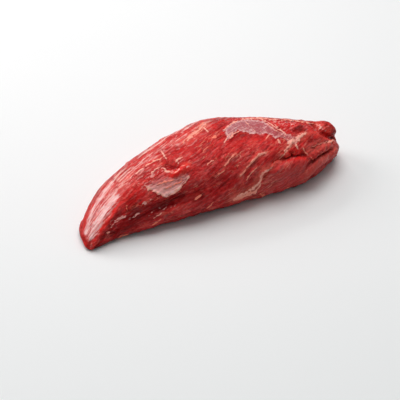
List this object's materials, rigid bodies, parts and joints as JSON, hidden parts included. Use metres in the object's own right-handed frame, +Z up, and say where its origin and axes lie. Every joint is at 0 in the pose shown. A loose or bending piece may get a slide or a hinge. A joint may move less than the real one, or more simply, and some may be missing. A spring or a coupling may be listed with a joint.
{
  "type": "raw beef tri-tip",
  "caption": "Whole trimmed raw beef tri-tip: a long curved muscle with a pointed tip, a blunt folded butt end and a flat side that it lies on.",
  "frame": {"origin": "on the surface that the meat lies on, under the middle of its bounding box", "axes": "+X from the pointed tip towards the blunt butt end, +Y towards the thin curved edge, +Z up out of the surface"},
  "size_m": [0.2688, 0.1038, 0.0553],
  "materials": {
    "raw_beef": "moist raw beef, deep red with a soft wet sheen, fibres along the muscle, thin fat seams and patches of silverskin"
  },
  "bodies": {
    "root": {"beef_tri_tip": "raw_beef"}
  },
  "joints": []
}
